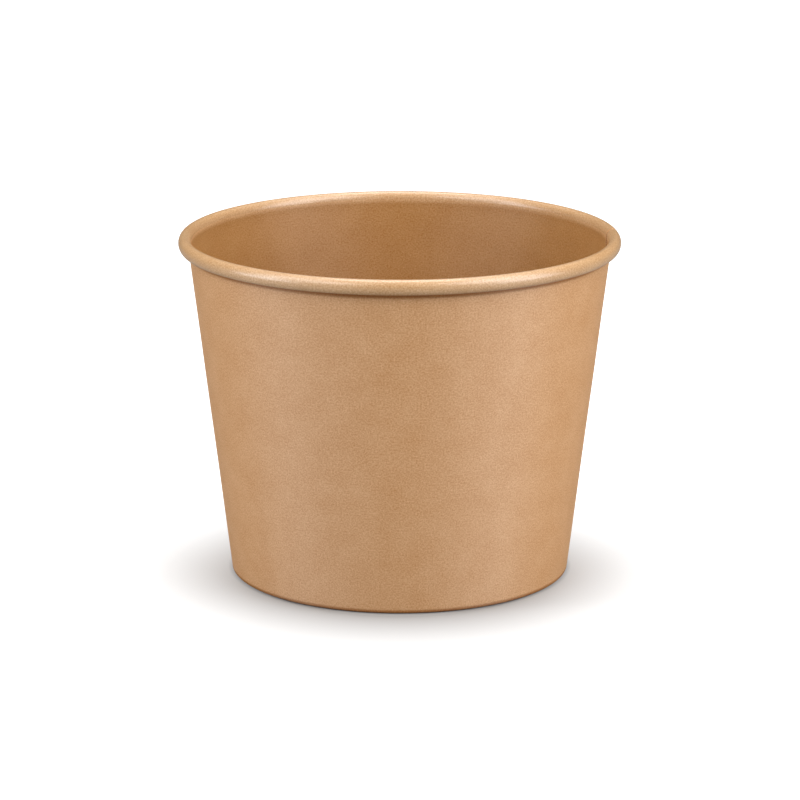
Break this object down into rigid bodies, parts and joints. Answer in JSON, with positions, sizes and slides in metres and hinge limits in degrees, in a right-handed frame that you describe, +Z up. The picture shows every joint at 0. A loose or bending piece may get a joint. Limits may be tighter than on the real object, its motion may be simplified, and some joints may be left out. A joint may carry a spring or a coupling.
{
  "type": "paper soup container",
  "caption": "Round kraft board soup container with no lid: tapered wall with a lapped side seam, outward rolled rim, and a recessed base clamped in the hemmed foot.",
  "frame": {"origin": "on the floor, at the centre of the foot ring", "axes": "+Z up along the container's axis, out of its mouth; -Y towards the front, where the picture was taken from; the side seam is near +X, a little behind the right side"},
  "size_m": [0.098, 0.098, 0.0763],
  "materials": {
    "wall_board": "matt brown kraft with fine fibres",
    "base_board": "matt brown kraft with fine fibres"
  },
  "bodies": {
    "root": {"side_wall": "wall_board", "base": "base_board"}
  },
  "joints": []
}
